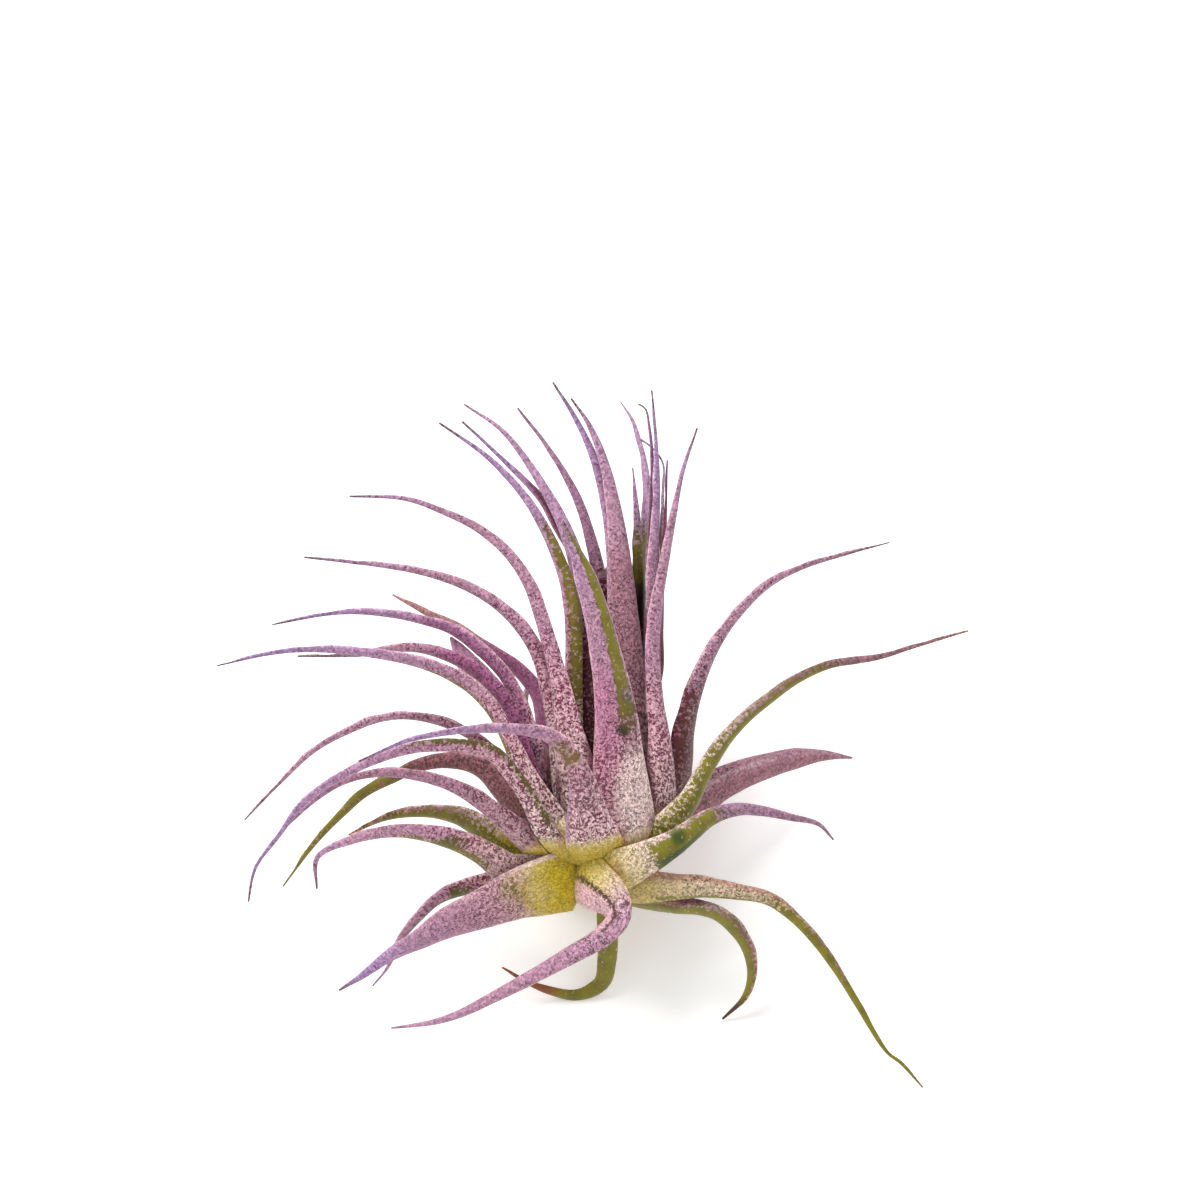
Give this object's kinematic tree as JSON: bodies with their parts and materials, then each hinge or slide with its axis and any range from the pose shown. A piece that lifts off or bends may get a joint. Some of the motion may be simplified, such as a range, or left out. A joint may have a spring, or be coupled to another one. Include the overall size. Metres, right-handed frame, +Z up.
{
  "type": "air plant",
  "caption": "Small bare air plant lying on its side: narrow channelled leaves with broad sheaths overlap in a bulb round a short stem and arch out to fine points.",
  "frame": {"origin": "middle of the flat spot under the bulb on which the plant lies", "axes": "+Z up, away from what it lies on; +Y the way its crown points, seen from above; +X to the right seen from its foot"},
  "size_m": [0.083, 0.0679, 0.0395],
  "materials": {
    "leaf_lilac": "matt leaf with lilac scales",
    "leaf_pink": "matt leaf with pinkish white scales",
    "leaf_olive": "satin olive leaf with sparse scales",
    "leaf_maroon": "matt maroon leaf with grey scales",
    "leaf_straw": "matt drying leaf",
    "stem": "dull woody stem"
  },
  "bodies": {
    "root": {"stem": "stem", "leaf_front_left_recurved": "leaf_lilac", "leaf_low_left_hollow": "leaf_lilac", "leaf_low_twisted": "leaf_pink", "leaf_low_right": "leaf_olive", "leaf_low_right_curl": "leaf_olive", "leaf_low_left_behind": "leaf_pink", "leaf_low_curl": "leaf_olive", "leaf_under_1": "leaf_pink", "leaf_under_2": "leaf_pink", "leaf_under_3": "leaf_pink", "leaf_left_11": "leaf_pink", "leaf_right_4": "leaf_olive", "leaf_left_10": "leaf_olive", "leaf_left_7": "leaf_lilac", "leaf_left_8": "leaf_pink", "leaf_left_9": "leaf_olive", "leaf_right_3": "leaf_pink", "leaf_right_2": "leaf_olive", "leaf_left_4": "leaf_lilac", "leaf_front_middle": "leaf_pink", "leaf_left_1": "leaf_pink", "leaf_right_1": "leaf_maroon", "leaf_left_6": "leaf_maroon", "leaf_under_4": "leaf_pink", "leaf_under_5": "leaf_pink", "leaf_under_6": "leaf_pink", "leaf_under_7": "leaf_pink", "leaf_front_right_upright": "leaf_pink", "leaf_left_5": "leaf_maroon", "leaf_left_2": "leaf_pink", "leaf_left_3": "leaf_lilac", "leaf_centre_5": "leaf_pink", "leaf_left_3_short": "leaf_lilac", "leaf_left_3_behind": "leaf_straw", "leaf_under_8": "leaf_pink", "leaf_under_9": "leaf_pink", "leaf_centre_1": "leaf_lilac", "leaf_centre_9": "leaf_lilac", "leaf_centre_2": "leaf_maroon", "leaf_centre_6": "leaf_lilac", "leaf_centre_12": "leaf_pink", "leaf_centre_10": "leaf_lilac", "leaf_centre_3": "leaf_lilac", "leaf_centre_7": "leaf_olive", "leaf_centre_11": "leaf_lilac", "leaf_centre_4": "leaf_maroon", "leaf_centre_8": "leaf_olive"}
  },
  "joints": []
}
